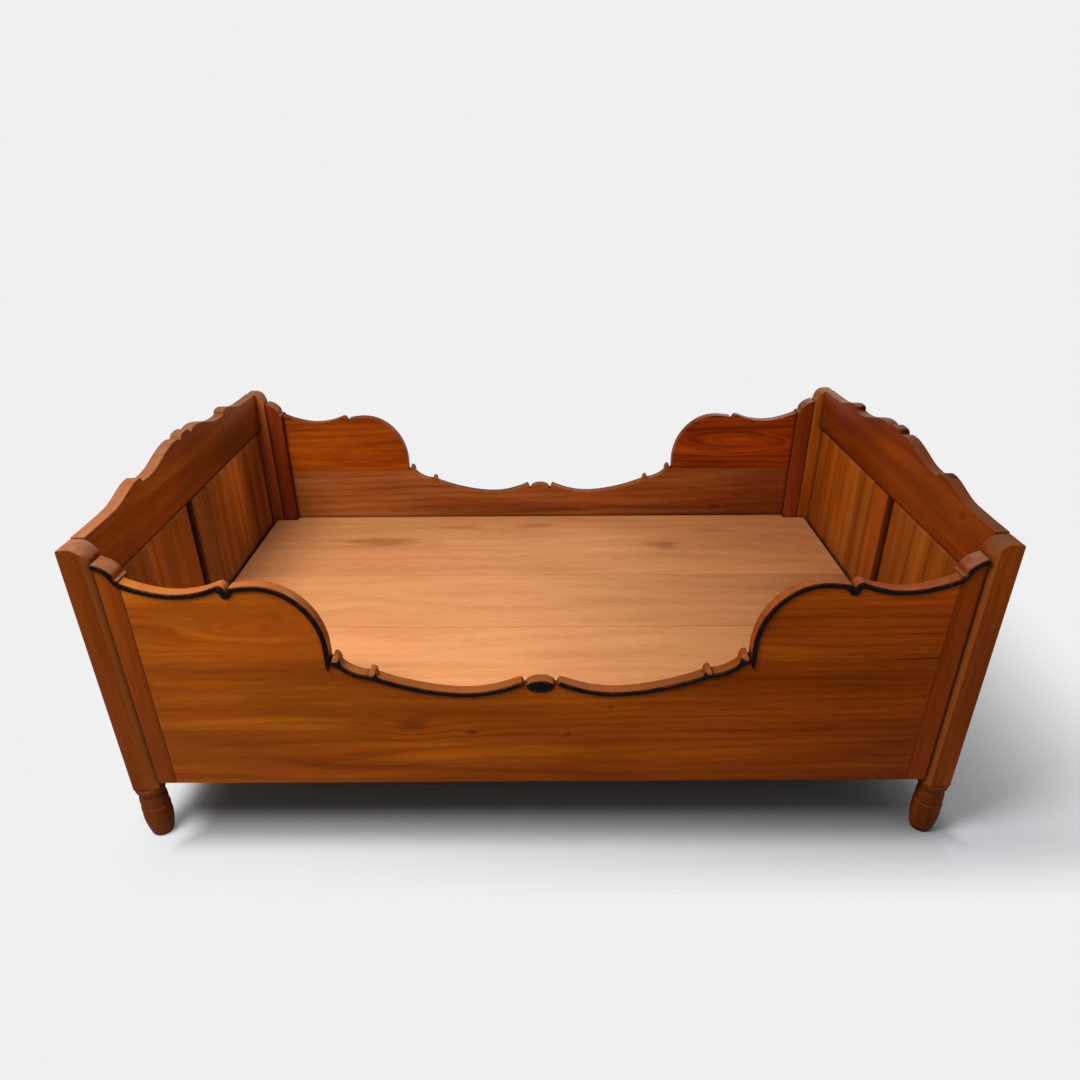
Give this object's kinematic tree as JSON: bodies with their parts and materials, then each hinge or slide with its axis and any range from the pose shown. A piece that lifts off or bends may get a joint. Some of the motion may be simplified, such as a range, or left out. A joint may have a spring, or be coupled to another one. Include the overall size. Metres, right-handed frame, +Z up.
{
  "type": "wooden bed",
  "caption": "Wooden bed with serpentine sides, dark beads, panelled ends with wavy crests and turned feet, made to carry a mattress on loose base boards.",
  "frame": {"origin": "on the floor, below the middle of the bed", "axes": "+X along the bed's length towards its right end in the picture, +Y towards its back side, +Z up"},
  "size_m": [2.037, 1.274, 0.876],
  "materials": {
    "cherry": "polished cherry",
    "cherry_dark": "polished dark cherry",
    "ebonised": "black stained and polished",
    "plywood": "bare board",
    "pine": "rough sawn",
    "iron": "dark forged iron"
  },
  "bodies": {
    "bedstead": {"front_left_post": "cherry_dark", "front_right_post": "cherry_dark", "back_left_post": "cherry_dark", "back_right_post": "cherry_dark", "front_left_foot": "cherry_dark", "front_right_foot": "cherry_dark", "back_left_foot": "cherry_dark", "back_right_foot": "cherry_dark", "left_crest_rail": "cherry", "right_crest_rail": "cherry", "left_bottom_rail": "cherry_dark", "right_bottom_rail": "cherry_dark", "left_muntin": "cherry_dark", "right_muntin": "cherry_dark", "left_front_panel": "cherry_dark", "left_back_panel": "cherry_dark", "right_front_panel": "cherry_dark", "right_back_panel": "cherry_dark", "front_side_plank": "cherry", "back_side_plank": "cherry", "front_left_shoulder": "cherry", "front_right_shoulder": "cherry", "back_left_shoulder": "cherry", "back_right_shoulder": "cherry", "front_left_stile": "cherry", "front_right_stile": "cherry", "back_left_stile": "cherry", "back_right_stile": "cherry", "front_left_upper_bead": "ebonised", "front_right_upper_bead": "ebonised", "back_left_upper_bead": "ebonised", "back_right_upper_bead": "ebonised", "front_left_lower_bead": "ebonised", "front_right_lower_bead": "ebonised", "back_left_lower_bead": "ebonised", "back_right_lower_bead": "ebonised", "front_centre_oval": "ebonised", "back_centre_oval": "ebonised", "front_ledger": "pine", "back_ledger": "pine", "slat_1": "pine", "slat_2": "pine", "slat_3": "pine", "slat_4": "pine", "slat_5": "pine", "slat_6": "pine", "front_left_rail_hook": "iron", "front_right_rail_hook": "iron", "back_left_rail_hook": "iron", "back_right_rail_hook": "iron", "front_left_post_keeper": "iron", "front_right_post_keeper": "iron", "back_left_post_keeper": "iron", "back_right_post_keeper": "iron"},
    "front_board": {"front_base_board": "plywood"},
    "middle_board": {"middle_base_board": "plywood"},
    "back_board": {"back_base_board": "plywood"}
  },
  "joints": [
    {"name": "front_board_lift", "type": "slide", "parent": "bedstead", "child": "front_board", "axis": [0, 0, 1], "range_m": [0, 0.6]},
    {"name": "middle_board_lift", "type": "slide", "parent": "bedstead", "child": "middle_board", "axis": [0, 0, 1], "range_m": [0, 0.6]},
    {"name": "back_board_lift", "type": "slide", "parent": "bedstead", "child": "back_board", "axis": [0, 0, 1], "range_m": [0, 0.6]}
  ]
}
